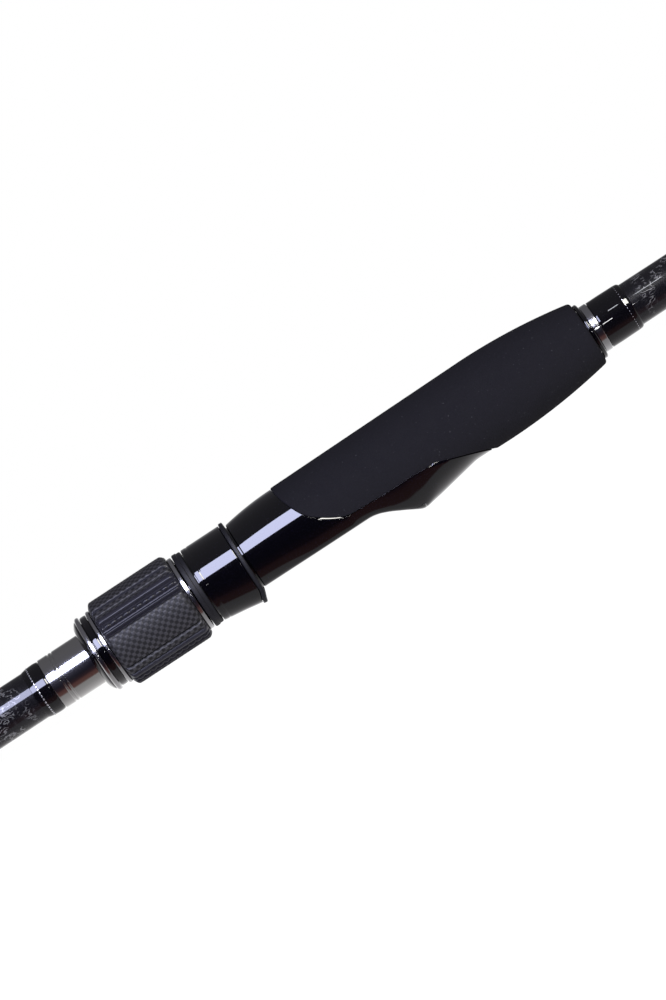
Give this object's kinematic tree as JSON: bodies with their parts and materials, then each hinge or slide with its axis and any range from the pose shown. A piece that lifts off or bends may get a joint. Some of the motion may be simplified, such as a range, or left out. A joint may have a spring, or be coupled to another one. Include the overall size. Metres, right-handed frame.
{
  "type": "spinning rod",
  "caption": "Two-piece spinning rod with a screw-hood reel seat, split foam grips, tapered carbon blank and line guides.",
  "frame": {"origin": "middle of the flat end of the butt cap", "axes": "+X along the rod towards the tip; -Z is the side of the reel and the line guides; +Y is to the left when looking towards the tip"},
  "size_m": [1.8298, 0.0296, 0.0569],
  "materials": {
    "blank": "clear-coated black carbon",
    "gloss_black": "piano-black gloss",
    "thread_wrap": "black thread under clear resin",
    "foam": "matte closed-cell foam",
    "rubber": "matte rubber",
    "weave_grip": "satin carbon weave",
    "steel": "bright turned steel",
    "gunmetal": "polished gunmetal",
    "ceramic": "polished dark ceramic",
    "nylon": "moulded nylon"
  },
  "bodies": {
    "root": {"butt_cap": "rubber", "butt_cap_ring": "steel", "rear_grip": "foam", "rear_grip_check": "steel", "rear_grip_wrap": "thread_wrap", "butt_blank": "blank", "seat_body": "gloss_black", "seat_arbor_rear": "nylon", "seat_arbor_middle": "nylon", "seat_arbor_front": "nylon", "rear_sleeve": "gunmetal", "rear_sleeve_wrap": "thread_wrap", "rear_sleeve_trim": "steel", "foregrip": "foam", "foregrip_end_ring": "gloss_black", "winding_check": "steel", "foregrip_wrap": "thread_wrap", "foregrip_trim": "steel", "guide_1_frame": "gunmetal", "guide_1_ring": "ceramic", "guide_1_rear_wrap": "thread_wrap", "guide_1_front_wrap": "thread_wrap"},
    "hood": {"hood_shell": "gloss_black", "hood_liner": "rubber", "hood_collar": "rubber"},
    "nut": {"nut_core": "nylon", "nut_sleeve": "weave_grip", "nut_tail": "gloss_black", "nut_tail_edge": "steel", "nut_tail_band": "gloss_black", "nut_rear_ring": "steel", "nut_front_ring": "steel"},
    "tip": {"tip_blank": "blank", "ferrule_wrap": "thread_wrap", "ferrule_trim": "steel", "guide_2_frame": "gunmetal", "guide_2_ring": "ceramic", "guide_2_rear_wrap": "thread_wrap", "guide_2_front_wrap": "thread_wrap", "guide_3_frame": "gunmetal", "guide_3_ring": "ceramic", "guide_3_rear_wrap": "thread_wrap", "guide_3_front_wrap": "thread_wrap", "guide_4_frame": "gunmetal", "guide_4_ring": "ceramic", "guide_4_wrap": "thread_wrap", "guide_5_frame": "gunmetal", "guide_5_ring": "ceramic", "guide_5_wrap": "thread_wrap", "guide_6_frame": "gunmetal", "guide_6_ring": "ceramic", "guide_6_wrap": "thread_wrap", "guide_7_frame": "gunmetal", "guide_7_ring": "ceramic", "guide_7_wrap": "thread_wrap", "tip_top_frame": "gunmetal", "tip_top_ring": "ceramic", "tip_top_wrap": "thread_wrap"}
  },
  "joints": [
    {"name": "hood_slide", "type": "slide", "parent": "root", "child": "hood", "axis": [-1, 0, 0], "range_m": [0, 0.012]},
    {"name": "nut_turn", "type": "hinge", "parent": "hood", "child": "nut", "pos_m": [0.255, 0, 0], "axis": [-1, 0, 0], "range_deg": [0, 2160]},
    {"name": "tip_pull", "type": "slide", "parent": "root", "child": "tip", "axis": [1, 0, 0], "range_m": [0, 0.08]}
  ],
  "couplings": [
    {"joint": "hood_slide", "follows": "nut_turn", "m_per_rad": 0.0003183}
  ]
}
